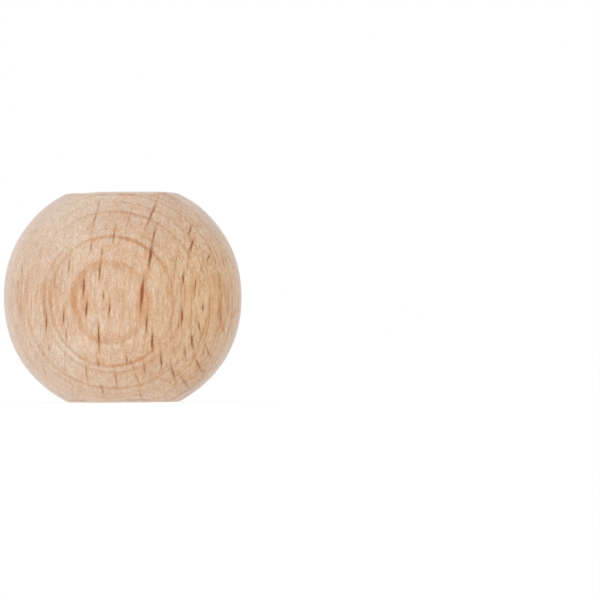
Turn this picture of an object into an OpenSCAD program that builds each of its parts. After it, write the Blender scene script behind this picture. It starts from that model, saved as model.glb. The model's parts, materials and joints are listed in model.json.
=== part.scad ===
// Turned wooden ball: a sphere with a flat cut across each end and a bore from flat to flat.
// It is one piece of wood, with the grain along the bore.
// The bore is on the Z axis, and the origin is the centre of the lower flat, on which the ball stands.

/* [Ball] */
// Diameter of the sphere, across its widest part
ball_d = 25; // [22:0.5:60]
// Depth that each flat cuts off the end of the sphere
flat_cut = 1.5; // [1.2:0.1:5]
// Radius of the rounding where each flat runs out into the sphere
flat_round = 1.5; // [0.3:0.1:3]

/* [Bore] */
// Diameter of the bore
bore_d = 9.5; // [2:0.1:10.5]
// Radius of the rounding at both mouths of the bore
bore_round = 0.2; // [0.05:0.05:0.5]

/* [Hidden] */
// Facets of a full circle in the preview
$fn = 180;
// Reach of a cutting shape past the surface that it cuts
past = 1;

ball_r = ball_d / 2;
bore_r = bore_d / 2;
// Height of each flat from the ball's middle
flat_z = ball_r - flat_cut;

// The profile lies in the X-Y plane, with X out from the bore's axis and Y up from the ball's middle.
// Centre of the rounding that touches the flat from below and the sphere from inside
flat_round_y = flat_z - flat_round;
flat_round_x = sqrt(pow(ball_r - flat_round, 2) - pow(flat_round_y, 2));
flat_round_at = [flat_round_x, flat_round_y];
// A point outside the sphere, straight out from the ball's middle through that centre
outside_sphere = flat_round_at * (ball_r + past) / (ball_r - flat_round);
// Centre of the rounding at the bore's upper mouth
bore_round_at = [bore_r + bore_round, flat_z - bore_round];

// What is outside a rounding: the area within the corner points, less the rounding's own disc
module rounding_waste(centre, radius, corner) {
    difference() {
        polygon(concat([centre], corner));
        translate(centre) circle(r = radius);
    }
}

module flat_edge_waste() {
    top = flat_z + past;
    rounding_waste(flat_round_at, flat_round,
        [[flat_round_x, top], [outside_sphere.x, top], outside_sphere]);
}

module bore_edge_waste() {
    top = flat_z + past;
    rounding_waste(bore_round_at, bore_round,
        [[0, bore_round_at.y], [0, top], [bore_round_at.x, top]]);
}

// Half of the ball's section, from the bore's wall outwards
module half_section() {
    difference() {
        intersection() {
            circle(r = ball_r);
            translate([bore_r, -flat_z]) square([ball_r, 2 * flat_z]);
        }
        for (end = [0, 1]) mirror([0, end]) {
            flat_edge_waste();
            bore_edge_waste();
        }
    }
}

module ball() {
    color([0.87, 0.72, 0.58])
        translate([0, 0, flat_z])
            rotate_extrude() half_section();
}

ball();
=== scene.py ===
"""The looks of the turned beech ball: its worn turned surface, the figure of its wood, light and camera."""
import json
import math

import bpy
import numpy as np
from mathutils import Matrix, Vector


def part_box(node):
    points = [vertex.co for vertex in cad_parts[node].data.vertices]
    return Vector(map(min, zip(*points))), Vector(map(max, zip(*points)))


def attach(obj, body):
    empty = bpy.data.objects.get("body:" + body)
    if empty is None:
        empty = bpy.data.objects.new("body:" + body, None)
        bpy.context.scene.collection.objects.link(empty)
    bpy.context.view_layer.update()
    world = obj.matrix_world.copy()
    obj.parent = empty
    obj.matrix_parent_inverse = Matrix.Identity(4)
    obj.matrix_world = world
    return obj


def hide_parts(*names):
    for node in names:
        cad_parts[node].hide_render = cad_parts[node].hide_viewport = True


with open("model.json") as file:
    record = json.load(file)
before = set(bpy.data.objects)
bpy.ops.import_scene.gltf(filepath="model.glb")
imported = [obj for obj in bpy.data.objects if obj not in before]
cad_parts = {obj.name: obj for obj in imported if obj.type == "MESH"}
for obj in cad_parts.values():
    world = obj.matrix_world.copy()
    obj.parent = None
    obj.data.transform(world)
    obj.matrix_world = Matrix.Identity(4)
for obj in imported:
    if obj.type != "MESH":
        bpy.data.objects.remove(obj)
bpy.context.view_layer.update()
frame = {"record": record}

MM = 0.001               # sizes below are in millimetres unless they say metres; Blender's unit is the metre

# ---------------------------------------------------------------- sizes, from the frame
BOX_LOW, BOX_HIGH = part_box("ball")
MOUNTS = {mount["name"]: mount for mount in frame["record"]["mounts"]}
BALL_R = (BOX_HIGH.x - BOX_LOW.x) / 2 / MM
FLAT_Z = (BOX_HIGH.z - BOX_LOW.z) / 2 / MM   # the flats' height from the ball's middle
MIDDLE = Vector((0, 0, FLAT_Z))              # the ball's middle, above the surface that it stands on
BORE_R = MOUNTS["bore"]["dims"]["r_mm"]

FLAT_ROUND = 1.5                             # rounding between a flat and the sphere, as the CAD has it
MOUTH_ROUND = 0.2                            # rounding at the bore's mouths, as the CAD has it
# The rounding meets the flat EDGE_X out from the bore's axis, and the sphere at the latitude EDGE_ANGLE,
# TOOL_LINE_R out.
EDGE_ANGLE = math.asin((FLAT_Z - FLAT_ROUND) / (BALL_R - FLAT_ROUND))
EDGE_X = (BALL_R - FLAT_ROUND) * math.cos(EDGE_ANGLE)
TOOL_LINE_R = BALL_R * math.cos(EDGE_ANGLE)

# ---------------------------------------------------------------- camera
SENSOR = 36.0                                # the camera's sensor is this wide
IMAGE = 600                                  # the picture's width and height in pixels
SIGHT = 1500.0                               # camera to the ball's middle, along the camera's axis
SCALE = 9.555                                # pixels to a millimetre at the ball's middle
BALL_PX = (122.7, 297.1)                     # where the ball's middle stands in the picture
BALL_TILT = math.radians(0.40)               # how far the ball seems to lean to its left

CAMERA_TURN = Matrix.Rotation(math.pi / 2, 3, "X") @ Matrix.Rotation(-BALL_TILT, 3, "Z")
RIGHT = CAMERA_TURN @ Vector((1, 0, 0))
UP = CAMERA_TURN @ Vector((0, 1, 0))
AHEAD = CAMERA_TURN @ Vector((0, 0, -1))
CAMERA_AT = (MIDDLE - AHEAD * SIGHT
             - RIGHT * (BALL_PX[0] - IMAGE / 2) / SCALE
             - UP * (IMAGE / 2 - BALL_PX[1]) / SCALE)


def make_camera():
    data = bpy.data.cameras.new("camera")
    data.sensor_width = SENSOR
    data.lens = SENSOR * SCALE * SIGHT / IMAGE
    camera = bpy.data.objects.new("camera", data)
    camera.matrix_world = Matrix.LocRotScale(CAMERA_AT * MM, CAMERA_TURN.to_quaternion(), None)
    bpy.context.scene.collection.objects.link(camera)
    bpy.context.scene.camera = camera


def seen_at(x, z):
    """The point of the sphere, from its middle, seen x to the right of the middle and z above it.

    A point past the ball's outline is taken on it.
    """
    start = CAMERA_AT - MIDDLE
    ray = (RIGHT * x + UP * z - start).normalized()
    reach = ray.dot(start)
    inside = reach ** 2 - start.length_squared + BALL_R ** 2
    return start - ray * (reach + math.sqrt(max(inside, 0)))


# ---------------------------------------------------------------- the turned surface
AROUND = 400                                 # vertices round the ball
SPHERE_STEPS = 134                           # steps along its section: over the sphere,
ROUND_STEPS = 10                             # round each flat's edge,
FLAT_STEPS = 6                               # across each flat,
MOUTH_STEPS = 6                              # round each mouth of the bore,
WALL_STEPS = 56                              # and along the bore's wall
CROWDING = 0.25                              # the sphere's steps are longer at its middle by this share

SURFACE_SEED = 25
SWELL = 0.055                                # the sphere's profile swells and hollows by this much,
SWELLS = 6                                   # in waves of which a full turn would hold this many
SLIM_DEPTH = 0.075                           # the upper half is slimmer by this much
SLIM_AT = 36                                 # at this latitude in degrees,
SLIM_SPREAD = 15                             # and less and less this far to either side of it
LINE_DEPTH = 0.020                           # depth of the line where each flat's cut began
LINE_WIDTH = 0.16                            # its half width
LINE_USUAL = 0.6                             # its usual share of that depth,
LINE_VARIES = 0.4                            # the spread of that share,
LINE_MOST = 1.3                              # the most of it,
LINE_LUMPS = 14                              # and over about how many vertices it comes and goes
EDGE_WEAR = 0.12                             # most that the upper flat's edge is rubbed down
WEAR_SPREAD = 1.9                            # how far to either side that wear fades out
WEAR_RISE = 0.05                             # it is deepest this far, in radians, above EDGE_ANGLE
# The sides where the upper flat is worn, 1 for -X and -1 for +X, and the cosines of the angle from there
# at which the wear sets in and is full.
WORN_SIDES = [(1, 0.45, 0.75), (-1, 0.75, 0.97)]
LEAST_WEAR = 0.4                             # share of the wear that the edge has between those sides
WEAR_NOISE = 0.12                            # how much that share varies
WEAR_LUMPS = 30                              # over about this many vertices
TEETH = 0.06                                 # spread of the torn fibres round the bore's mouths
TEETH_LUMPS = (1.2, 2.2, 6)                  # their widths in vertices
TUFTS = 0.16                                 # longest of the few that stand out further
TUFT_LUMPS = 1.5                             # their width in vertices
TUFT_RARITY = 2.0                            # only noise above this many spreads makes one
TEETH_REACH = 0.8                            # how far down the bore the torn fibres show
TINY = 1e-6


def section():
    """The ball's section, from the bore's upper mouth outwards, down the sphere, inwards and up the wall.

    Each row is a point's x out and z up from the ball's middle, and how far it is round a flat's edge:
    from 0 on the flat, as on the bore's wall, to 1 on the sphere.
    """
    upper = []
    for i in range(MOUTH_STEPS):
        turn = math.pi - math.pi / 2 * i / MOUTH_STEPS
        x = BORE_R + MOUTH_ROUND * (1 + math.cos(turn))
        z = FLAT_Z - MOUTH_ROUND * (1 - math.sin(turn))
        upper.append((x, z, 0))
    flat_start = BORE_R + MOUTH_ROUND
    for i in range(FLAT_STEPS):
        upper.append((flat_start + (EDGE_X - flat_start) * i / FLAT_STEPS, FLAT_Z, 0))
    for i in range(ROUND_STEPS):
        share = i / ROUND_STEPS
        turn = math.pi / 2 + (EDGE_ANGLE - math.pi / 2) * share
        x = EDGE_X + FLAT_ROUND * math.cos(turn)
        z = FLAT_Z - FLAT_ROUND + FLAT_ROUND * math.sin(turn)
        upper.append((x, z, share))
    sphere = []
    for i in range(SPHERE_STEPS + 1):
        share = 1 - 2 * i / SPHERE_STEPS
        turn = EDGE_ANGLE * share * (1 + CROWDING - CROWDING * share ** 2)
        sphere.append((BALL_R * math.cos(turn), BALL_R * math.sin(turn), 1))
    lower = [(x, -z, share) for x, z, share in reversed(upper)]
    wall_top = FLAT_Z - MOUTH_ROUND
    wall = [(BORE_R, -wall_top + 2 * wall_top * i / WALL_STEPS, 0) for i in range(1, WALL_STEPS)]
    return np.array(upper + sphere + lower + wall)


def ring_of_noise(rng, *widths):
    """Smooth seeded noise round the ball, with a mean of 0 and a spread of 1; a width is in vertices."""
    total = np.zeros(AROUND)
    for width in widths:
        wave = np.fft.rfft(rng.standard_normal(AROUND))
        wave[0] = 0
        wave *= np.exp(-(np.arange(len(wave)) * width / AROUND * 2) ** 2)
        noise = np.fft.irfft(wave, AROUND)
        total += noise / noise.std() / len(widths)
    return total / total.std()


def between(value, start, end):
    """0 up to start, 1 from end on, and a smooth change between them."""
    share = np.clip((value - start) / (end - start), 0, 1)
    return share * share * (3 - 2 * share)


def bell(distance, spread):
    """1 at no distance, and a smooth fall to almost 0 at twice the spread."""
    return np.exp(-(distance / spread) ** 2)


def past_edge(profile):
    """How far each point's latitude, in radians, is past the one where a flat's rounding begins."""
    x, z, _ = profile.T
    return np.arctan2(np.abs(z), x) - EDGE_ANGLE


def tool_marks(profile, rng):
    """How far the lathe's tool left each vertex outside the true form."""
    x, z, on_sphere = profile.T
    out = np.zeros((len(profile), AROUND))

    # its path wanders a little from a true sphere
    latitude = np.arctan2(np.abs(z), x)
    slim = bell(np.degrees(np.arctan2(z, x)) - SLIM_AT, SLIM_SPREAD)
    out -= (SWELL * np.cos(SWELLS * latitude) * on_sphere)[:, None]
    out -= (SLIM_DEPTH * slim * on_sphere)[:, None]

    # it left a fine line where the cut of each flat began
    near_line = bell(past_edge(profile) * np.hypot(x, z), LINE_WIDTH) * (on_sphere > 0)
    for end in (1, -1):
        strength = np.clip(LINE_USUAL + LINE_VARIES * ring_of_noise(rng, LINE_LUMPS), 0, LINE_MOST)
        out -= (LINE_DEPTH * near_line * (z * end > 0))[:, None] * strength
    return out


def wear(profile, turns, rng):
    """How far the upper flat's edge is rubbed down, square to its surface, and how far the flat has sunk."""
    x, z, _ = profile.T
    rubbed = sum(between(side * np.cos(turns), start, full) for side, start, full in WORN_SIDES)
    edge_rubbed = LEAST_WEAR + (1 - LEAST_WEAR) * rubbed + WEAR_NOISE * ring_of_noise(rng, WEAR_LUMPS)
    edge_rubbed = np.clip(edge_rubbed, 0, 1)

    past_flat = (z > 0) * (x > EDGE_X - TINY)
    near_edge = bell((past_edge(profile) - WEAR_RISE) * np.hypot(x, z), WEAR_SPREAD) * past_flat
    on_flat = (z > FLAT_Z - MOUTH_ROUND - TINY) * (x < EDGE_X - TINY)
    across_flat = between(x, BORE_R + MOUTH_ROUND, EDGE_X)[:, None]
    sunk = EDGE_WEAR * on_flat[:, None] * (rubbed + across_flat * (edge_rubbed - rubbed))
    return EDGE_WEAR * near_edge[:, None] * edge_rubbed, sunk


def torn_fibres(profile, rng):
    """How far the torn fibres at the bore's mouths stand into it."""
    x, z, _ = profile.T
    inwards = np.zeros((len(profile), AROUND))
    for end in (1, -1):
        below = FLAT_Z - z * end
        fade = np.clip(1 - (below - MOUTH_ROUND) / TEETH_REACH, 0, 1) * np.clip(below / MOUTH_ROUND, 0, 1)
        fade = fade * (x < BORE_R + MOUTH_ROUND + TINY) * (z * end > 0)
        teeth = TEETH * ring_of_noise(rng, *TEETH_LUMPS)
        tufts = TUFTS * np.clip(ring_of_noise(rng, TUFT_LUMPS) - TUFT_RARITY, 0, 1)
        inwards += fade[:, None] * (teeth + tufts)
    return inwards


def surface(profile):
    """The places of all vertices, section by section, from the ball's middle."""
    rng = np.random.default_rng(SURFACE_SEED)
    x, z, _ = profile.T
    normal = np.gradient(profile[:, :2], axis=0)
    normal = np.stack([-normal[:, 1], normal[:, 0]], 1)
    normal /= np.linalg.norm(normal, axis=1, keepdims=True)
    turns = np.arange(AROUND) / AROUND * 2 * math.pi

    out = tool_marks(profile, rng)
    edge_worn, sunk = wear(profile, turns, rng)
    out -= edge_worn
    reach = x[:, None] + out * normal[:, :1] - torn_fibres(profile, rng)
    height = z[:, None] + out * normal[:, 1:] - sunk
    # turns start on the -X side and pass the front first
    return np.stack([-reach * np.cos(turns), -reach * np.sin(turns), height], 2)


# A face's corners, anticlockwise from outside, as steps along the section and round the ball
CORNERS = np.array([(0, 0), (1, 0), (1, 1), (0, 1)])
MAP_GAP = 0.4                                # between the parts of the bake's picture


def bake_map(profile):
    """A place on the bake's square picture, from 0 to 1, for each corner of each face.

    The outer skin lies there in two halves, one above the other, and the bore's wall beside them.
    """
    steps = np.linalg.norm(np.diff(profile[:, :2], axis=0, append=profile[:1, :2]), axis=1)
    along = np.concatenate([[0], np.cumsum(steps)])
    skin_faces = len(profile) - WALL_STEPS
    skin_length = along[skin_faces]
    wall_length = along[-1] - skin_length
    half_width = math.pi * BALL_R
    square = max(half_width + 3 * MAP_GAP + wall_length, 2 * skin_length + 3 * MAP_GAP)

    corner_along = along[np.arange(len(profile))[:, None] + CORNERS[:, 0]][:, None, :]
    corner_round = (np.arange(AROUND)[:, None] + CORNERS[:, 1])[None]
    half = AROUND // 2
    back = (np.arange(AROUND) >= half)[None, :, None]
    places = np.zeros((len(profile), AROUND, len(CORNERS), 2))
    skin, wall = places[:skin_faces], places[skin_faces:]
    skin[..., 0] = MAP_GAP + (corner_round - half * back) / half * half_width
    skin[..., 1] = MAP_GAP + skin_length - corner_along[:skin_faces] + back * (skin_length + MAP_GAP)
    wall[..., 0] = 2 * MAP_GAP + half_width + corner_along[skin_faces:] - skin_length
    wall[..., 1] = MAP_GAP + corner_round / AROUND * 2 * math.pi * BORE_R
    return places / square


def build_ball():
    profile = section()
    places = (surface(profile) + np.array(MIDDLE)) * MM
    index = np.arange(len(profile) * AROUND).reshape(len(profile), AROUND)
    faces = np.stack([np.roll(index, -corner, axis=(0, 1)) for corner in CORNERS], 2)
    mesh = bpy.data.meshes.new("turned_ball")
    mesh.from_pydata(places.reshape(-1, 3).tolist(), [], faces.reshape(-1, len(CORNERS)).tolist())
    mesh.shade_smooth()
    layer = mesh.uv_layers.new(name="OFBake")
    layer.uv.foreach_set("vector", bake_map(profile).astype(np.float32).ravel())
    ball = bpy.data.objects.new("turned_ball", mesh)
    bpy.context.scene.collection.objects.link(ball)
    return ball


# ---------------------------------------------------------------- node trees
LENS_DISORDER = 0.9                          # how far scattered lenses are off a regular grid, from 0 to 1
STRONGEST_DRAW = 1.05                        # above 1, so that even the strongest lens is a little weaker


class Tree:
    """Short calls that add nodes to a tree. Each returns the output that carries its result."""

    def __init__(self, owner):
        owner.use_nodes = True
        self.nodes = owner.node_tree.nodes
        self.links = owner.node_tree.links
        self.nodes.clear()

    def add(self, kind, *values, **settings):
        """A new node itself, with its settings set and its first inputs fed with the values."""
        node = self.nodes.new("ShaderNode" + kind)
        for key, value in settings.items():
            setattr(node, key, value)
        for socket, value in zip(node.inputs, values):
            self.feed(socket, value)
        return node

    def feed(self, socket, value):
        """Links value to the socket, or sets the socket to it where it is plain."""
        if isinstance(value, bpy.types.NodeSocket):
            self.links.new(value, socket)
        else:
            socket.default_value = value

    def feed_named(self, node, **values):
        for name, value in values.items():
            self.feed(node.inputs[name.replace("_", " ").title()], value)
        return node

    def math(self, operation, *values, clamp=False):
        return self.add("Math", *values, operation=operation, use_clamp=clamp).outputs[0]

    def times(self, *values):
        """The product of two or more values."""
        product = values[0]
        for value in values[1:]:
            product = self.math("MULTIPLY", product, value)
        return product

    def plus(self, base, value, amount=1.0):
        """base with amount times value added to it."""
        return self.math("MULTIPLY_ADD", value, amount, base)

    def vary(self, base, noise, by):
        """base varied with noise from 0 to 1, by half that much to either side."""
        return self.plus(base, self.math("SUBTRACT", noise, 0.5), by)

    def ramp(self, share, low, high):
        """low where share is 0, high where it is 1, and in proportion between them."""
        return self.plus(low, share, high - low)

    def span(self, value, start, end, low=0.0, high=1.0):
        """low up to start, high from end on, and a smooth change between them."""
        return self.add("MapRange", value, start, end, low, high, interpolation_type="SMOOTHSTEP").outputs[0]

    def vector(self, operation, *values):
        node = self.add("VectorMath", *values, operation=operation)
        return node.outputs["Value" if operation in ("LENGTH", "DOT_PRODUCT") else "Vector"]

    def scaled(self, vector, by):
        return self.vector("MULTIPLY", vector, by)

    def blend(self, share, first, second):
        node = self.add("Mix", data_type="RGBA", blend_type="MIX", clamp_factor=True)
        inputs = {socket.identifier: socket for socket in node.inputs}
        for name, value in (("Factor_Float", share), ("A_Color", first), ("B_Color", second)):
            self.feed(inputs[name], value)
        return next(socket for socket in node.outputs if socket.identifier == "Result_Color")

    def stained(self, colour, amount, stain):
        """colour with amount of a stain in it.

        The stain is the share that an amount of 1 takes from red, green and blue.
        """
        left = self.vector("MULTIPLY_ADD", amount, [-share for share in stain], (1, 1, 1))
        return self.scaled(colour, left)

    def noise(self, vector, size, detail=2.0, roughness=0.5):
        """Noise from 0 to 1 whose lumps are about size, in millimetres along each axis."""
        node = self.add("TexNoise", noise_dimensions="3D")
        self.feed_named(node, vector=self.scaled(vector, [1 / width for width in size]), scale=1.0,
                        detail=detail, roughness=roughness)
        return node.outputs[0]

    def lenses(self, vector, size, chance, start, end, dimensions="3D"):
        """Scattered lens shapes: up to 1 at their middles and 0 between them.

        Each cell of that size has room for one, and chance is the share of cells that hold one. It begins
        to fade at start and is gone at end, both in cells from its middle.
        """
        node = self.add("TexVoronoi", voronoi_dimensions=dimensions, feature="F1")
        self.feed_named(node, vector=self.scaled(vector, [1 / width for width in size]), scale=1.0,
                        randomness=LENS_DISORDER)
        shape = self.span(node.outputs["Distance"], end, start)
        # a cell's random red says whether it holds one, and how strong it is
        draw = self.add("SeparateColor", node.outputs["Color"]).outputs["Red"]
        return self.times(shape, self.span(draw, 1 - chance, STRONGEST_DRAW))

    def placed(self, vector, location, axes, size):
        """vector as seen from a frame at location, whose axes are given, in units of size."""
        turn = Matrix(axes).transposed().to_euler()
        return self.add("Mapping", vector, location, turn, size, vector_type="TEXTURE").outputs[0]

    def blob(self, vector, location, axes, size):
        """An oval blob: 1 at location, and less and less out to 0 at size from it along the axes."""
        local = self.placed(vector, location, axes, size)
        return self.add("TexGradient", local, gradient_type="SPHERICAL").outputs["Fac"]


# ---------------------------------------------------------------- the wood
# Colours are linear, as they look under plain white light.
GROUND = (0.738, 0.520, 0.364)
# The flats' paler wood: partly the turning tool's burnish, partly painted light.
PALE_BURNISH_AND_LIGHT = (0.740, 0.560, 0.410, 1)
FLECK_EDGE = (0.385, 0.180, 0.090, 1)
FLECK_CORE = (0.325, 0.086, 0.016, 1)
# The darker line where the tool's cut of each flat began.
TOOL_LINE_DARK = (0.420, 0.210, 0.110, 1)
# The bore's wall: partly the drill's burnish, mostly painted shade of the deep bore.
BORE_BURNISH_AND_SHADE = (0.105, 0.048, 0.026, 1)
# Stains: the share that each takes from red, green and blue where its amount is 1.
# The yellow one also paints the top's sheen, with a negative amount.
YELLOW_STAIN_AND_SHEEN = (0.12, 0.42, 1.12)
WARM_STAIN = (0.25, 0.78, 1.25)
BROWN_STAIN = (0.50, 0.83, 1.08)
# The grey one also paints shade and light, where the front's patches use it.
GREY_STAIN_AND_SHADE = (0.62, 0.76, 0.91)

# The growth rings are cylinders round the tree's pith, which lay in front of the ball. Their crown is the
# point of the ball that was nearest to the pith.
PITH = 300.0                                 # from the pith to the ball's middle
CROWN_PX = (109.6, 301.2)                    # where the crown stands in the picture
CROWN = seen_at((CROWN_PX[0] - BALL_PX[0]) / SCALE, (BALL_PX[1] - CROWN_PX[1]) / SCALE).normalized()
FIBRE_LEAN = 0.044                           # the fibres' tops lean to the right, as a slope
RAY_LEAN = 0.10                              # the rays run to the right as they go in, as a slope


def wood_axes():
    """The wood's own axes: across the grain, away from the pith, and along the fibres."""
    fibres = Vector((FIBRE_LEAN, 0, 1))
    along = (fibres - CROWN * CROWN.dot(fibres)).normalized()
    away = -CROWN
    return away.cross(along), away, along


# Each ring's depth behind the ball's front at its outer edge, the width of its dark wood, how dark it is,
# and the sides where it is faint: degrees clockwise from the top, as seen from the front, and how far it
# fades there.
RINGS = [
    (0.71, 0.28, 0.95, [(92, 0.95), (275, 0.3), (0, 0.15)]),
    (1.95, 0.20, 1.10, [(105, 0.6), (225, 0.3), (290, 0.35)]),
    (2.42, 0.18, 0.40, [(0, 1.0), (60, 1.0), (110, 0.7)]),
    (2.48, 0.10, 0.30, [(268, 1.0)]),
    (4.15, 0.25, 1.00, [(285, 0.6), (85, 0.5), (125, 0.4), (325, 0.4), (230, 0.3)]),
    (4.95, 0.14, 0.45, [(45, 0.8), (310, 0.6)]),
    (5.35, 0.14, 0.50, [(225, 0.9), (310, 0.5)]),
    (6.90, 0.18, 0.60, [(180, 0.7), (300, 0.5)]),
    (7.55, 0.14, 0.40, [(240, 0.8), (320, 0.5)]),
    (9.20, 0.20, 1.00, [(300, 0.6)]),
    (10.25, 0.10, 0.35, [(60, 0.8), (200, 0.8)]),
    (11.25, 0.18, 1.15, [(240, 0.6)]),
    (13.75, 0.22, 1.00, [(60, 0.6)]),
    (14.60, 0.12, 0.40, [(150, 0.8), (300, 0.8)]),
    (15.85, 0.20, 1.15, [(180, 0.6)]),
    (18.10, 0.24, 1.00, [(270, 0.7)]),
    (18.80, 0.12, 0.35, [(20, 0.8), (200, 0.8)]),
    (20.80, 0.20, 1.05, [(75, 0.7), (230, 0.5)]),
    (22.80, 0.24, 0.95, [(10, 0.7), (140, 0.5)]),
]
RING_RISE = (1.2, 0.2)                       # widths before the edge where the dark wood begins and is full
RING_FALL = (0.12, 0.01)                     # how far past the edge it ends, and what each mm of depth adds
FAINT_SIDE = (0.5, 0.97)                     # cosines from a faint side where the fading starts and is full
RING_WANDER = (0.25, 1.8)                    # how far the rings wander, near the front and at the back,
WANDER_DEPTHS = (7.0, 13.0)                  # and the depths between which that changes
WANDER_SIZE = (5, 5, 9)                      # the size of a bend: across, into and along the wood
RING_RIPPLE = 0.10                           # and how far they ripple
RIPPLE_SIZE = (0.7, 0.7, 3.0)
PATCH_SIZE = (3, 3, 5)                       # the size of the places where a ring is faint or strong,
PATCH_NOISE = (0.3, 0.7)                     # the noise at a faint place and at a strong one,
PATCH_FAINT = (0.8, 0.3)                     # how dark the faint ones are, near the front and deeper,
PATCHY_DEPTHS = (7.0, 11.0)                  # the depths between which that changes,
PATCH_STRONG = 1.1                           # and how dark the strong ones are
# A ring that runs along the surface is a broad tan band, and one that dives into it is a fine brown line.
STEEP = (3.0, 8.0)                           # distances from the crown between which that changes
RING_TAN = (0.26, 0.14)
RING_BROWN = (0.08, 0.26)
# The rings are stronger on the end grain, which sets in between these heights from the ball's middle and
# between these depths.
END_HEIGHTS = (8.6, 10.6)
END_DEPTHS = (6.5, 9.0)
END_RINGS_FROM = 6.0                         # a ring with a deeper edge reaches the end grain
SLOW_RISE = (1.5, 0.50)                      # how far before its edge it begins there, and how dark it gets
END_EVENNESS = 0.5                           # how much the rings' faint places gain there
END_BROWN = 1.75                             # how many times browner the rings are there


def growth_rings(tree, wood, height):
    """How much tan and how much brown the rings' dark wood gives."""
    from_pith = tree.vector("LENGTH", tree.vector("MULTIPLY_ADD", wood, (1, 1, 0), (0, PITH, 0)))
    depth = tree.math("SUBTRACT", from_pith, PITH - BALL_R)
    wander = tree.span(depth, *WANDER_DEPTHS, *RING_WANDER)
    depth = tree.vary(depth, tree.noise(wood, WANDER_SIZE, detail=1.0), by=wander)
    depth = tree.vary(depth, tree.noise(wood, RIPPLE_SIZE), by=RING_RIPPLE)

    on_end = tree.times(tree.span(height, *END_HEIGHTS), tree.span(depth, *END_DEPTHS))
    from_crown = tree.scaled(wood, (1, 0, 1))
    side = tree.vector("NORMALIZE", from_crown)
    rise_start, rise_end = RING_RISE
    fall_width, fall_growth = RING_FALL
    slow_width, slow_amount = SLOW_RISE
    latewood = 0.0
    for edge, width, strength, faint_sides in RINGS:
        rise = tree.span(depth, edge - rise_start * width, edge - rise_end * width)
        fall = tree.span(depth, edge, edge + fall_width + fall_growth * edge, low=strength, high=0.0)
        if edge > END_RINGS_FROM:
            slow = tree.times(tree.span(depth, edge - slow_width, edge, high=slow_amount), on_end)
            rise = tree.math("MAXIMUM", rise, slow)
        ring = tree.times(rise, fall)
        for turn, fade in faint_sides:
            faint_side = (math.sin(math.radians(turn)), 0, math.cos(math.radians(turn)))
            towards = tree.vector("DOT_PRODUCT", side, faint_side)
            ring = tree.times(ring, tree.span(towards, *FAINT_SIDE, low=1.0, high=1.0 - fade))
        latewood = tree.math("ADD", ring, latewood)
    faintest = tree.plus(tree.span(depth, *PATCHY_DEPTHS, *PATCH_FAINT), on_end, END_EVENNESS)
    patchy = tree.span(tree.noise(wood, PATCH_SIZE, detail=1.0), *PATCH_NOISE, faintest, PATCH_STRONG)
    latewood = tree.times(latewood, patchy)

    steep = tree.span(tree.vector("LENGTH", from_crown), *STEEP)
    ring_tan = tree.times(latewood, tree.ramp(steep, *RING_TAN))
    ring_brown = tree.times(latewood, tree.ramp(steep, *RING_BROWN), tree.ramp(on_end, 1.0, END_BROWN))
    return ring_tan, ring_brown


JITTER = 0.24                                # how far the rays' edges are shaken, from side to side
JITTER_SIZE = (0.4, 0.4, 1.0)
BIG_RAY = (0.80, 5.0)                        # room for one big ray: across it and along the fibres
SMALL_RAY = (0.30, 1.9, 3.0)                 # room for one small ray: the same, and inwards
BIG_RAY_Y = (-5.5, -2.0)                     # y between which big rays come in, where the front's flecks end
BIG_RAY_X = (9.4, 7.4)                       # x where they're gone, as they lie along the surface, and full
RAY_ENDS = (7.5, 10.5)                       # heights between which they get paler, on the end grain,
RAY_ON_END = 0.55                            # down to this share


def shake(tree, wood):
    """A small unsteady shift that makes the rays' edges rough."""
    jitter = tree.vary(0.0, tree.noise(wood, JITTER_SIZE), JITTER)
    return tree.add("CombineXYZ", jitter, 0.0, 0.0).outputs[0]


def unplaced_rays(tree, wood, here, height, shaking):
    """The big rays of the sides, back and end grain, and the small ones everywhere, from 0 to 1."""
    x, y, _ = tree.add("SeparateXYZ", here).outputs
    across, inward, along = tree.add("SeparateXYZ", wood).outputs
    # rays are thin plates that fan out from the pith, seen edge on as flecks
    fan = tree.math("DIVIDE", tree.plus(across, inward, -RAY_LEAN), tree.plus(1.0, inward, 1 / PITH))
    plates = tree.vector("ADD", tree.add("CombineXYZ", fan, along, inward).outputs[0], shaking)
    big = tree.lenses(plates, (*BIG_RAY, 1.0), chance=0.75, start=0.03, end=0.25, dimensions="2D")
    small = tree.lenses(plates, SMALL_RAY, chance=0.6, start=0.05, end=0.36)
    behind = tree.span(y, *BIG_RAY_Y)
    edge_on = tree.span(tree.math("ABSOLUTE", x), *BIG_RAY_X)
    ends = tree.span(height, *RAY_ENDS, low=1.0, high=RAY_ON_END)
    return tree.times(big, behind, edge_on, ends), small


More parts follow.
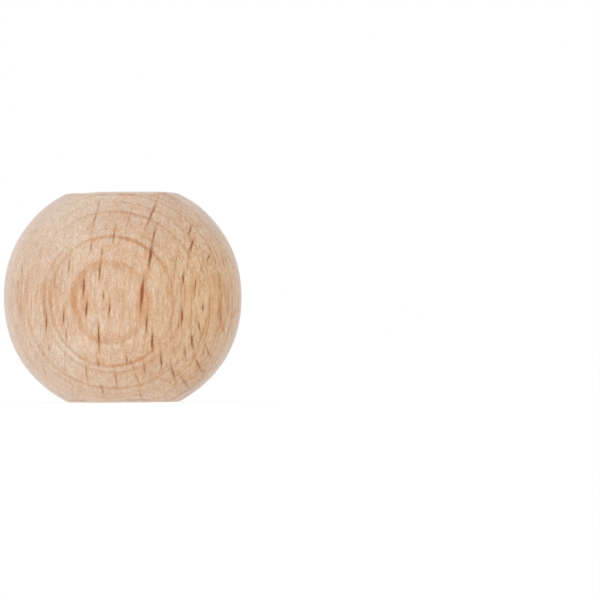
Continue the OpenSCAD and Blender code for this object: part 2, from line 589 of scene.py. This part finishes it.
# The rays that show as dark flecks on the front. Each row has the fleck's middle, right of and above the
# ball's middle as the camera sees it, its length, how many degrees its top leans to the right, its width
# and how dark it is.
FLECKS = [
    (2.0, 0.3, 4.1, 5, 0.35, 1.05),
    (2.9, 4.3, 3.0, 8, 0.36, 0.90),
    (-4.1, 1.0, 2.6, 4, 0.23, 0.88),
    (3.1, -4.7, 2.3, 0, 0.22, 0.94),
    (3.3, 6.6, 1.7, 14, 0.27, 0.66),
    (-8.0, -2.7, 2.5, 0, 0.21, 0.76),
    (-2.4, 2.7, 2.1, 6, 0.22, 0.78),
    (-2.5, -4.1, 3.2, -2, 0.23, 0.86),
    (6.2, -2.0, 1.8, 4, 0.23, 0.98),
    (-3.8, -1.2, 1.9, 2, 0.21, 1.05),
    (7.2, 5.4, 1.7, 18, 0.28, 0.86),
    (7.25, -4.6, 2.1, -7, 0.27, 0.82),
    (2.5, -2.9, 2.4, 3, 0.23, 0.80),
    (-6.2, -2.1, 1.8, 3, 0.19, 0.76),
    (-0.9, 6.5, 2.1, 9, 0.19, 0.65),
    (-0.7, -8.5, 2.2, -9, 0.19, 0.58),
    (-5.6, 3.3, 2.5, 6, 0.17, 0.54),
    (3.1, 8.9, 3.8, 22, 0.26, 0.66),
    (7.05, 7.0, 1.6, 20, 0.25, 0.70),
    (6.3, 1.9, 1.6, 5, 0.19, 0.78),
    (4.0, -6.65, 2.1, -4, 0.24, 0.72),
    (-1.4, -1.3, 1.7, 4, 0.19, 0.78),
    (7.6, 1.3, 1.6, 5, 0.19, 0.90),
    (8.0, -3.1, 1.3, -9, 0.21, 0.78),
    (5.25, -7.9, 2.2, -14, 0.25, 0.66),
    (-5.9, -4.1, 1.4, -1, 0.15, 0.55),
    (-2.2, 4.6, 1.7, 3, 0.14, 0.45),
    (-2.9, 8.2, 2.3, 14, 0.20, 0.54),
    (8.4, -1.1, 1.1, 2, 0.19, 0.75),
    (-3.8, -7.8, 2.2, -7, 0.15, 0.52),
    (-2.1, -9.8, 1.5, -15, 0.18, 0.55),
    (8.95, -5.75, 1.5, -22, 0.24, 0.66),
    (5.5, 3.4, 1.3, 2, 0.19, 0.50),
    (5.8, -3.0, 1.0, 2, 0.19, 0.56),
    (-2.0, 0.1, 1.1, 2, 0.19, 0.65),
    (10.15, -1.2, 3.2, 0, 0.19, 0.50),
    (9.0, 4.15, 1.3, 20, 0.20, 0.64),
    (-2.6, -6.8, 1.3, -8, 0.18, 0.50),
    (0.4, -6.5, 0.9, -10, 0.15, 0.72),
    (1.5, -8.45, 1.7, -20, 0.16, 0.45),
    (1.9, -10.3, 0.95, -19, 0.18, 0.50),
    (7.9, -7.1, 1.6, -28, 0.28, 0.66),
    (8.4, -7.75, 0.6, -75, 0.22, 0.55),
    (-7.1, 1.7, 1.6, 3, 0.16, 0.58),
    (8.2, 3.0, 0.7, 7, 0.19, 0.50),
    (-2.5, 9.7, 1.1, 8, 0.22, 0.34),
    (-3.3, 5.3, 1.6, 11, 0.18, 0.50),
    (-7.7, -5.4, 1.1, -5, 0.14, 0.50),
    (6.55, -5.85, 1.9, -4, 0.18, 0.62),
    (6.5, -8.9, 1.9, -36, 0.27, 0.54),
    (0.7, 8.3, 1.2, 14, 0.21, 0.48),
    (-5.3, -9.9, 0.9, -11, 0.15, 0.32),
    (2.25, -7.45, 1.7, -7, 0.16, 0.56),
    (6.8, 3.1, 0.9, 3, 0.17, 0.44),
    (-6.0, -7.3, 3.6, -2, 0.11, 0.34),
    (-10.55, 2.9, 1.6, 4, 0.15, 0.48),
    (-10.95, 1.4, 1.0, 3, 0.14, 0.46),
    (-10.7, -1.5, 1.8, 0, 0.12, 0.40),
    (-10.2, 0.6, 1.4, 3, 0.12, 0.36),
    (-9.5, 2.0, 1.2, 5, 0.11, 0.34),
    (-9.9, -2.3, 1.3, -2, 0.11, 0.34),
    (-6.0, 6.8, 1.6, 8, 0.16, 0.27),
    (-9.0, 0.5, 1.3, 5, 0.16, 0.35),
    (-8.2, -7.7, 1.9, -7, 0.14, 0.31),
    (11.0, -1.15, 2.1, 0, 0.17, 0.44),
    (-1.2, -6.4, 0.9, -5, 0.13, 0.32),
    (-0.95, 4.2, 0.9, 3, 0.12, 0.28),
    (-3.0, 0.85, 1.2, 2, 0.13, 0.28),
    (-0.35, -0.4, 0.9, 2, 0.12, 0.40),
    (8.95, 5.5, 1.0, -8, 0.15, 0.22),
]
# Tan streaks of the front, in rows of the same form as the flecks'.
STREAKS = [
    (-8.3, 0.3, 2.4, 1, 0.45, 0.35),
    (-8.3, -1.2, 1.9, -2, 0.30, 0.45),
    (-7.6, 0.1, 2.6, 2, 0.40, 0.30),
    (-5.35, 0.5, 2.2, 1, 0.25, 0.35),
    (-5.1, 0.2, 2.6, -1, 0.25, 0.40),
    (-9.1, -0.2, 1.3, 2, 0.20, 0.45),
    (-6.55, 0.3, 1.3, 0, 0.18, 0.40),
    (-10.0, 1.0, 3.4, 4, 0.35, 0.45),
    (4.95, 0.1, 1.6, 0, 0.28, 0.50),
    (5.2, -1.3, 1.9, -1, 0.22, 0.50),
    (6.8, 3.4, 1.5, 4, 0.18, 0.60),
    (9.1, 0.0, 2.6, 2, 0.20, 0.50),
    (8.95, -2.0, 1.7, 8, 0.25, 0.50),
    (10.1, 1.6, 2.0, 0, 0.22, 0.60),
    (10.15, -0.9, 4.2, 0, 0.26, 0.40),
    (10.45, -3.1, 2.0, -15, 0.26, 0.75),
    (11.15, 0.7, 2.5, 0, 0.40, 0.50),
    (11.6, -1.9, 0.8, 0, 0.45, 0.70),
    (8.4, -3.6, 0.9, 0, 0.40, 0.45),
    (7.2, -0.6, 3.0, 1, 0.25, 0.40),
    (10.6, 3.4, 1.3, -8, 0.25, 0.50),
    (8.0, 7.5, 0.8, -35, 0.50, 0.50),
    (8.45, 1.4, 1.6, 3, 0.20, 0.45),
    (9.75, 0.6, 1.7, 2, 0.16, 0.50),
    (7.75, -1.9, 1.5, 1, 0.18, 0.45),
    (9.5, -3.6, 1.3, -8, 0.20, 0.45),
    (6.5, 0.4, 1.9, 2, 0.18, 0.35),
    (-11.0, 0.3, 2.2, 2, 0.22, 0.40),
    (-9.6, -0.9, 1.9, 0, 0.18, 0.35),
    (9.45, -0.2, 5.2, 0, 0.15, 0.40),
    (7.3, 1.8, 3.0, 4, 0.26, 0.30),
]
# Broad pale and tan patches of the front, and painted light and shade: each row has its middle, its half
# width, its half height and how much of the warm stain and of the grey stain it adds. The grey rows at the
# rims on the upper and lower right and left paint shade, the negative grey rows over the right side and
# along the left edge paint light, and the wide grey row across the top goes with the top's painted sheen.
PATCHES = [
    (-4.3, -0.2, 1.7, 3.6, 0.18, 0.0),
    (-7.6, -0.3, 2.4, 4.0, 0.09, 0.0),
    (2.3, -0.8, 1.3, 3.0, 0.24, 0.0),
    (-0.6, -1.3, 3.5, 3.8, 0.11, 0.0),
    (1.6, -6.4, 3.0, 2.6, 0.10, 0.0),
    (-0.7, 8.5, 2.0, 1.2, 0.09, 0.0),
    (10.4, -0.9, 2.2, 4.6, 0.11, -0.06),
    (-6.8, 7.2, 3.2, 3.0, -0.13, 0.0),
    (-6.0, -5.8, 2.8, 2.9, -0.24, 0.0),
    (-3.5, 9.9, 4.5, 1.8, -0.14, 0.0),
    (-4.6, 5.9, 1.9, 2.1, -0.14, 0.0),
    (2.0, -8.2, 2.2, 1.3, 0.10, 0.0),
    (4.4, -5.6, 3.0, 2.6, 0.10, 0.0),
    (7.3, -8.6, 3.2, 2.4, 0.20, 0.0),
    (-7.2, 8.4, 2.4, 1.6, -0.10, 0.0),
    (-0.2, 2.0, 2.2, 1.6, -0.07, 0.0),
    (7.6, 4.2, 3.0, 3.4, -0.08, 0.0),
    (-10.6, -0.4, 1.8, 3.6, 0.07, 0.0),
    (9.3, 7.8, 2.9, 3.4, 0.0, 0.14),
    (8.0, -9.0, 2.9, 3.0, 0.0, 0.13),
    (8.3, 0.0, 3.2, 6.2, 0.0, -0.10),
    (-8.1, 8.9, 2.6, 2.6, 0.0, 0.05),
    (-8.4, -8.6, 2.4, 2.4, 0.0, 0.04),
    (-9.9, -0.6, 2.0, 6.0, 0.0, -0.05),
    (-0.5, 8.8, 10.0, 3.6, 0.0, 0.035),
    (10.2, -0.5, 1.7, 2.8, 0.0, -0.05),
    (6.9, -7.2, 1.8, 2.6, 0.0, -0.08),
    (3.5, -8.1, 1.9, 1.6, 0.0, 0.09),
    (3.4, -4.6, 3.6, 1.7, 0.0, -0.08),
    (-4.1, -4.7, 2.2, 1.6, 0.0, -0.09),
    (3.4, 6.2, 1.9, 2.6, 0.0, 0.08),
    (5.0, 10.2, 2.4, 1.5, 0.0, 0.07),
    (0.8, 10.4, 2.4, 1.4, 0.0, -0.06),
    (-9.9, -3.9, 2.0, 2.4, 0.0, -0.06),
    (-6.6, 2.0, 1.8, 1.8, 0.0, 0.07),
]
MARK_DEPTH = 2.0                             # how far a fleck or streak runs into the wood
FLECK_SPREAD = 0.55                          # a fleck's half width at its faint edge, for a width of 1
FLECK_BLUR = 0.050                           # added to that half width, as wood cells blur every edge
FLECK_HALO = 1.7                             # how many times further the tan wood round a fleck reaches
FLECK_REACH = 2.3                            # how many times its half length its faint ends reach
FLECK_FORCE = 1.3                            # above 1, so a strong fleck is dark over more of its length
STREAK_SPREAD = 0.9                          # a streak's half width at its faint edge, for a width of 1
STREAK_REACH = 1.4                           # and how many times its half length its faint ends reach
STREAK_FULL = 0.6                            # what a blob is where its streak is at full strength,
PATCH_FULL = 0.8                             # and where its patch is


def mark_frame(x, z, length, lean):
    """Where the middle of a mark crosses the surface, its axes (across, inwards, along) and half length."""
    lean = math.radians(lean)
    reach_x = math.sin(lean) * length / 2
    reach_z = math.cos(lean) * length / 2
    top = seen_at(x + reach_x, z + reach_z)
    bottom = seen_at(x - reach_x, z - reach_z)
    middle = seen_at(x, z)
    along = (top - bottom).normalized()
    across = along.cross(middle - (CAMERA_AT - MIDDLE)).normalized()
    return middle, (across, -across.cross(along), along), (top - bottom).length / 2


def placed_flecks(tree, shaken):
    """The front's flecks, and the tan wood round them."""
    flecks = 0.0
    halo = 0.0
    for x, z, length, lean, width, strength in FLECKS:
        middle, axes, half = mark_frame(x, z, length, lean)
        half_width = (width * FLECK_SPREAD + FLECK_BLUR) * FLECK_HALO
        blob = tree.blob(shaken, middle, axes, (half_width, MARK_DEPTH, half * FLECK_REACH))
        dark = tree.add("MapRange", blob, 1 - 1 / FLECK_HALO, 1.0, 0.0, strength * FLECK_FORCE).outputs[0]
        flecks = tree.math("ADD", tree.math("MINIMUM", dark, 1.0), flecks)
        halo = tree.plus(halo, blob, strength)
    return flecks, halo


def placed_streaks(tree, shaken):
    """The front's tan streaks."""
    streaks = 0.0
    for x, z, length, lean, width, strength in STREAKS:
        middle, axes, half = mark_frame(x, z, length, lean)
        blob = tree.blob(shaken, middle, axes, (width * STREAK_SPREAD, MARK_DEPTH, half * STREAK_REACH))
        streaks = tree.plus(streaks, tree.span(blob, 0.0, STREAK_FULL), strength)
    return streaks


def with_patches(tree, here, warm, grey):
    """The amounts of warm and grey stain with the front's patches added, whose grey near the rims is painted
    light and shade.
    """
    for x, z, half_width, half_height, warm_amount, grey_amount in PATCHES:
        middle, axes, half = mark_frame(x, z, 2 * half_height, 0)
        blob = tree.blob(here, middle, axes, (half_width, half_width, half))
        patch = tree.span(blob, 0.0, PATCH_FULL)
        if warm_amount:
            warm = tree.plus(warm, patch, warm_amount)
        # the grey of the rim and edge patches is painted shade and painted light
        if grey_amount:
            grey = tree.plus(grey, patch, grey_amount)
    return warm, grey


# Sizes of the wood's fine figure: across, into and along it
FIBRES = (0.13, 0.18, 0.78)                  # fine pale and dark fibres
PORES = (0.11, 0.14, 0.20)                   # specks
STRANDS = (0.42, 0.50, 2.2)                  # bundles of warmer and cooler fibres
DASHES = (0.27, 0.36, 1.9)                   # scattered brown dashes
BLUSH = (0.8, 0.8, 1.3)                      # yellower and pinker spots
DRIFT = (4, 4, 7)                            # broad warmer and paler places
DASH_NOISE = (0.48, 0.72)                    # the noise where a dash begins and where it is full
# The wood gets yellower and its dashes get stronger from left to right, between these x.
WARM_SIDE = (-3.0, 11.5)
# How much each feature adds to the stain that its name ends in. A pair is for the left and the right, unless
# it says otherwise.
RIGHT_YELLOW = (0.25, 0.12)                  # at the ball's middle height and towards the flats,
YELLOW_HEIGHTS = (3.0, 8.5)                  # between these heights above or below the middle
# Painted sheen: the top is made less yellow, as a veil of light from above makes it look.
PAINTED_TOP_SHEEN_YELLOW = -0.05                           # comes in between these heights above the middle
TOP_SHEEN_HEIGHTS = (2.5, 8.0)
BLUSH_YELLOW = 0.30
DRIFT_WARM = 0.30
STRANDS_WARM = 0.37
STREAKS_WARM = 0.33
HALO_WARM = 0.30
DASHES_WARM = (0.035, 0.095)
FIBRES_BROWN = 0.10
DASHES_BROWN = (0.085, 0.195)
STREAKS_BROWN = 0.07
SMALL_RAYS_BROWN = 0.22
FIBRES_GREY = (0.86, 0.62)                   # at the ball's middle height and towards the flats,
FIBRE_HEIGHTS = (4.0, 10.5)                  # between these heights above or below the middle
RIGHT_FIBRES_GREY = 0.10                     # and what the right side adds
PORES_GREY = 0.86
BIG_RAY_DARK = 0.95                          # a big ray's darkness, where a placed fleck's is up to 1
FLECK_TO_EDGE = (0.0, 0.90)                  # darkness between which a fleck turns from wood to FLECK_EDGE,
FLECK_TO_CORE = (0.45, 1.0)                  # and from there to FLECK_CORE


def wood_colour_with_painted_light(tree, wood, here, height, fibres, pores):
    """The colour of the bare wood with painted light, shade and sheen, from the ground up, and how dark the
    flecks are.
    """
    x, _, z = tree.add("SeparateXYZ", here).outputs
    right = tree.span(x, *WARM_SIDE)
    strands = tree.noise(wood, STRANDS, detail=0.0)
    dashes = tree.span(tree.noise(wood, DASHES, detail=0.0), *DASH_NOISE)

    ring_tan, ring_brown = growth_rings(tree, wood, height)
    shaking = shake(tree, wood)
    big_rays, small_rays = unplaced_rays(tree, wood, here, height, shaking)
    shaken = tree.vector("ADD", here, shaking)
    flecks, halo = placed_flecks(tree, shaken)
    flecks = tree.math("MAXIMUM", flecks, tree.times(big_rays, BIG_RAY_DARK))
    streaks = placed_streaks(tree, shaken)

    yellow = tree.times(right, tree.span(height, *YELLOW_HEIGHTS, *RIGHT_YELLOW))
    yellow = tree.vary(yellow, tree.noise(wood, BLUSH, detail=1.0), by=BLUSH_YELLOW)
    # painted sheen: the top less yellow
    yellow = tree.plus(yellow, tree.span(z, *TOP_SHEEN_HEIGHTS, high=PAINTED_TOP_SHEEN_YELLOW))
    colour = tree.stained(GROUND, yellow, YELLOW_STAIN_AND_SHEEN)

    warm = tree.vary(0.0, tree.noise(wood, DRIFT), by=DRIFT_WARM)
    warm, grey = with_patches(tree, here, warm, 0.0)
    warm = tree.vary(warm, strands, by=STRANDS_WARM)
    warm = tree.plus(warm, streaks, STREAKS_WARM)
    warm = tree.plus(warm, ring_tan)
    warm = tree.plus(warm, halo, HALO_WARM)
    warm = tree.plus(warm, dashes, tree.ramp(right, *DASHES_WARM))
    colour = tree.stained(colour, warm, WARM_STAIN)

    brown = tree.vary(ring_brown, fibres, by=FIBRES_BROWN)
    brown = tree.plus(brown, dashes, tree.ramp(right, *DASHES_BROWN))
    brown = tree.plus(brown, streaks, STREAKS_BROWN)
    brown = tree.plus(brown, small_rays, SMALL_RAYS_BROWN)
    colour = tree.stained(colour, brown, BROWN_STAIN)

    along_grain = tree.span(height, *FIBRE_HEIGHTS, *FIBRES_GREY)
    grey = tree.vary(grey, fibres, by=tree.plus(along_grain, right, RIGHT_FIBRES_GREY))
    grey = tree.vary(grey, pores, by=PORES_GREY)
    colour = tree.stained(colour, grey, GREY_STAIN_AND_SHADE)

    colour = tree.blend(tree.span(flecks, *FLECK_TO_EDGE), colour, FLECK_EDGE)
    colour = tree.blend(tree.span(flecks, *FLECK_TO_CORE), colour, FLECK_CORE)
    return colour, flecks


# Each pair is where a part of the turned surface begins and where it is full: out from the bore's axis, or
# as a height from the ball's middle.
FLAT_OUT = (TOOL_LINE_R - 0.1, TOOL_LINE_R - 0.35)
FLAT_HEIGHTS = (FLAT_Z - 0.6, FLAT_Z - 0.3)
LINE_OUT = (LINE_WIDTH, 0.03)                # from the line's middle
LINE_HEIGHTS = (FLAT_Z - 0.8, FLAT_Z - 0.5)
BORE_OUT = (BORE_R + 0.20, BORE_R + 0.05)
BORE_HEIGHTS = (FLAT_Z - 0.3, FLAT_Z - 1.8)
LINE_BREAKS = (1.6, 1.6, 1.6)                # size of the gaps in the tool's line,
BREAK_NOISE = (0.46, 0.62)                   # and the noise where a gap ends and where the line is full
FLAT_SHARE = 0.35                            # how far the flats are towards PALE_BURNISH_AND_LIGHT,
LINE_SHARE = 0.7                             # the line towards TOOL_LINE_DARK
BORE_SHARE = 0.92                            # and the bore's wall towards BORE_BURNISH_AND_SHADE


def turned_parts(tree, here, height, colour):
    """colour with paler flats, a broken darker line round each and a darker bore wall, by burnish and by
    painted light and shade.
    """
    off_axis = tree.vector("LENGTH", tree.scaled(here, (1, 1, 0)))
    # painted light, with some burnish: the flats are paler
    flat = tree.times(tree.span(off_axis, *FLAT_OUT), tree.span(height, *FLAT_HEIGHTS), FLAT_SHARE)
    colour = tree.blend(flat, colour, PALE_BURNISH_AND_LIGHT)

    from_line = tree.math("ABSOLUTE", tree.math("SUBTRACT", off_axis, TOOL_LINE_R))
    unbroken = tree.span(tree.noise(here, LINE_BREAKS, detail=3.0), *BREAK_NOISE)
    line = tree.times(tree.span(from_line, *LINE_OUT), tree.span(height, *LINE_HEIGHTS))
    colour = tree.blend(tree.times(line, unbroken, LINE_SHARE), colour, TOOL_LINE_DARK)

    # painted shade, with some burnish: the bore's wall darkens from just inside each mouth
    bore = tree.times(tree.span(off_axis, *BORE_OUT), tree.span(height, *BORE_HEIGHTS), BORE_SHARE)
    return tree.blend(bore, colour, BORE_BURNISH_AND_SHADE)


# Relief of the bare wood: the fibres and specks stand up and the flecks lie deep by these shares of
# BUMP_HEIGHT.
RELIEF_FIBRES = 0.5
RELIEF_PORES = 0.35
RELIEF_FLECKS = -0.5
BUMP_HEIGHT = 0.02
BUMP_STRENGTH = 0.35
ROUGHNESS = (0.26, 0.40)                     # where the fibres' noise is 0 and where it is 1
IOR = 1.42
SHEEN = 0.38
SHEEN_TINT = (0.80, 0.88, 1.0, 1)
SHEEN_ROUGHNESS = 0.35


def beech():
    material = bpy.data.materials.new("beech")
    tree = Tree(material)
    here = tree.add("TexCoord").outputs["Object"]
    here = tree.vector("SUBTRACT", tree.scaled(here, (1 / MM,) * 3), MIDDLE)
    height = tree.math("ABSOLUTE", tree.add("SeparateXYZ", here).outputs["Z"])
    wood = tree.placed(here, (0, 0, 0), wood_axes(), (1, 1, 1))

    # long streaks where the surface follows the grain, and specks where it crosses it
    fibres = tree.noise(wood, FIBRES, roughness=0.60)
    pores = tree.noise(wood, PORES, detail=1.0)
    colour, flecks = wood_colour_with_painted_light(tree, wood, here, height, fibres, pores)
    colour = turned_parts(tree, here, height, colour)

    relief = tree.plus(tree.times(pores, RELIEF_PORES), fibres, RELIEF_FIBRES)
    relief = tree.plus(relief, flecks, RELIEF_FLECKS)
    bump = tree.add("Bump")
    tree.feed_named(bump, strength=BUMP_STRENGTH, distance=BUMP_HEIGHT * MM, height=relief)

    shader = tree.add("BsdfPrincipled")
    tree.feed_named(shader, base_color=colour, roughness=tree.ramp(fibres, *ROUGHNESS),
                    normal=bump.outputs[0], sheen_weight=SHEEN, sheen_tint=SHEEN_TINT,
                    sheen_roughness=SHEEN_ROUGHNESS)
    shader.inputs["IOR"].default_value = IOR
    tree.add("OutputMaterial", shader.outputs[0])
    return material


# ---------------------------------------------------------------- light and floor
WORLD_LIGHT = 0.76                           # from the back and as far round as the sides
FRONT_LIGHT = 0.33                           # what the front adds to it, most of all from FRONT_WAY
FRONT_WAY = (-0.07, -1.00, 0.02)
SIDE_SHADE = 0.27                            # what something at the back on the right keeps off,
SIDE_WAY = (0.87, 0.50, 0.0)                 # most of all from this way
SIDE_EDGE = (0.60, 0.97)                     # cosines from that way between which the shade deepens
FLOOR_HALF = 2.0                             # half of the floor's width, in metres
FLOOR_WHITE = 0.90
FLOOR_GLOW = 0.75                            # share of what the camera sees of the floor that is plain white
GLOW_STRENGTH = 1.1                          # makes up for the floor's grey where the glow is mixed with it
GLOW_FROM = (1.05, 1.15)                     # bore radii where the glow sets in; under the bore is none
LAMP_TURN = math.radians(-45)                # from the front, to the left
LAMP_HEIGHT = math.radians(15)
LAMP_SHARE = 0.04                            # what it adds, as a share of plain white light
LAMP_FAR = 0.6                               # metres from the ball


def to_eye(tree):
    """1 where a ray comes from the camera or off a mirror or through glass, else 0."""
    path = tree.add("LightPath")
    seen = tree.math("ADD", path.outputs["Is Camera Ray"], path.outputs["Is Glossy Ray"])
    return tree.math("ADD", seen, path.outputs["Is Transmission Ray"], clamp=True)


def make_world():
    world = bpy.data.worlds.new("white_room")
    bpy.context.scene.world = world
    tree = Tree(world)
    direction = tree.add("TexCoord").outputs["Generated"]
    forward = tree.math("MAXIMUM", tree.vector("DOT_PRODUCT", direction, FRONT_WAY), 0.0)
    light = tree.plus(WORLD_LIGHT, forward, FRONT_LIGHT)
    shade = tree.span(tree.vector("DOT_PRODUCT", direction, SIDE_WAY), *SIDE_EDGE)
    light = tree.plus(light, shade, -SIDE_SHADE)
    strength = tree.plus(light, to_eye(tree), tree.math("SUBTRACT", 1.0, light))
    background = tree.add("Background", (1, 1, 1, 1), strength)
    tree.add("OutputWorld", background.outputs[0])


def floor_white():
    material = bpy.data.materials.new("floor_white")
    tree = Tree(material)
    diffuse = tree.add("BsdfDiffuse", (FLOOR_WHITE, FLOOR_WHITE, FLOOR_WHITE, 1))
    glow = tree.add("Emission", (1, 1, 1, 1), GLOW_STRENGTH)
    from_bore = tree.vector("LENGTH", tree.add("TexCoord").outputs["Object"])
    uncovered = tree.span(from_bore, *(radii * BORE_R * MM for radii in GLOW_FROM))
    share = tree.times(uncovered, to_eye(tree), FLOOR_GLOW)
    both = tree.add("MixShader", share, diffuse.outputs[0], glow.outputs[0])
    tree.add("OutputMaterial", both.outputs[0])
    return material


def make_floor():
    mesh = bpy.data.meshes.new("floor")
    corners = [(-1, -1), (1, -1), (1, 1), (-1, 1)]
    mesh.from_pydata([(x * FLOOR_HALF, y * FLOOR_HALF, 0) for x, y in corners], [], [range(len(corners))])
    mesh.materials.append(floor_white())
    floor = bpy.data.objects.new("floor", mesh)
    bpy.context.scene.collection.objects.link(floor)
    floor.visible_diffuse = False            # the white room lights the ball from below too
    floor.visible_shadow = False


def make_lamp():
    """A soft lamp, of a strength that adds LAMP_SHARE to a white surface that faces it."""
    data = bpy.data.lights.new("lamp", "AREA")
    data.shape = "SQUARE"
    data.size = LAMP_FAR / 2
    data.energy = LAMP_SHARE * (math.pi * LAMP_FAR) ** 2
    lamp = bpy.data.objects.new("lamp", data)
    level = math.cos(LAMP_HEIGHT)
    away = Vector((math.sin(LAMP_TURN) * level, -math.cos(LAMP_TURN) * level, math.sin(LAMP_HEIGHT)))
    lamp.location = MIDDLE * MM + away * LAMP_FAR
    lamp.rotation_mode = "QUATERNION"
    lamp.rotation_quaternion = away.to_track_quat("Z", "Y")
    bpy.context.scene.collection.objects.link(lamp)


# ---------------------------------------------------------------- putting it together
make_camera()
ball = build_ball()
ball.data.materials.append(beech())
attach(ball, "root")
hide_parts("ball")
make_world()
make_floor()
make_lamp()
bpy.context.scene.view_settings.view_transform = "Standard"
